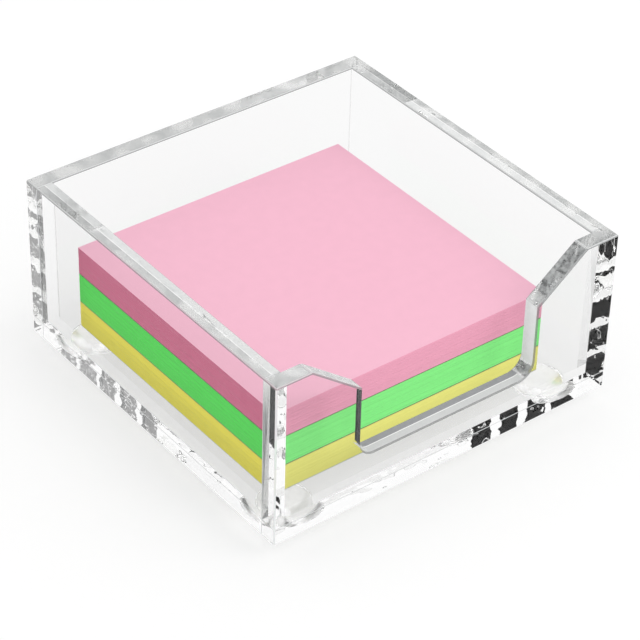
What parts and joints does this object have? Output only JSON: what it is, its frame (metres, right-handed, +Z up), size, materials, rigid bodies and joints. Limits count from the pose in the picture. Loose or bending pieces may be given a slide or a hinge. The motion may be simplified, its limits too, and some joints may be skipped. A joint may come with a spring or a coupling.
{
  "type": "memo pad holder",
  "caption": "Open-topped clear acrylic box on domed feet, with a notched front wall, holding a stack of square sticky-note pads that lift out.",
  "frame": {"origin": "middle of the square footprint, on the surface that the feet stand on", "axes": "+Z up; +X to the right along the notched front wall; +Y from the notched front to the back"},
  "size_m": [0.096, 0.096, 0.0465],
  "materials": {
    "clear_acrylic": "clear cast sheet with polished edges",
    "clear_foot": "clear soft polyurethane, glossy",
    "pink_paper": "matt dyed paper",
    "green_paper": "matt dyed paper",
    "yellow_paper": "matt dyed paper",
    "backing_paper": "smooth coated backing sheet"
  },
  "bodies": {
    "holder": {"base_plate": "clear_acrylic", "front_wall": "clear_acrylic", "back_wall": "clear_acrylic", "left_wall": "clear_acrylic", "right_wall": "clear_acrylic", "foot_front_left": "clear_foot", "foot_front_right": "clear_foot", "foot_back_left": "clear_foot", "foot_back_right": "clear_foot"},
    "yellow_notes": {"yellow_pad": "yellow_paper", "yellow_pad_backing": "backing_paper"},
    "green_notes": {"green_pad": "green_paper", "green_pad_backing": "backing_paper"},
    "pink_notes": {"pink_pad": "pink_paper", "pink_pad_backing": "backing_paper"},
    "top_note": {"pink_top_note": "pink_paper"}
  },
  "joints": [
    {"name": "yellow_pad_lift", "type": "slide", "parent": "holder", "child": "yellow_notes", "axis": [0, 0, 1], "range_m": [0, 0.045]},
    {"name": "green_pad_lift", "type": "slide", "parent": "yellow_notes", "child": "green_notes", "axis": [0, 0, 1], "range_m": [0, 0.038]},
    {"name": "pink_pad_lift", "type": "slide", "parent": "green_notes", "child": "pink_notes", "axis": [0, 0, 1], "range_m": [0, 0.03]},
    {"name": "top_note_peel", "type": "hinge", "parent": "pink_notes", "child": "top_note", "pos_m": [-0.003, 0.0186, 0.0306], "axis": [-1, 0, 0], "range_deg": [0, 75]}
  ]
}
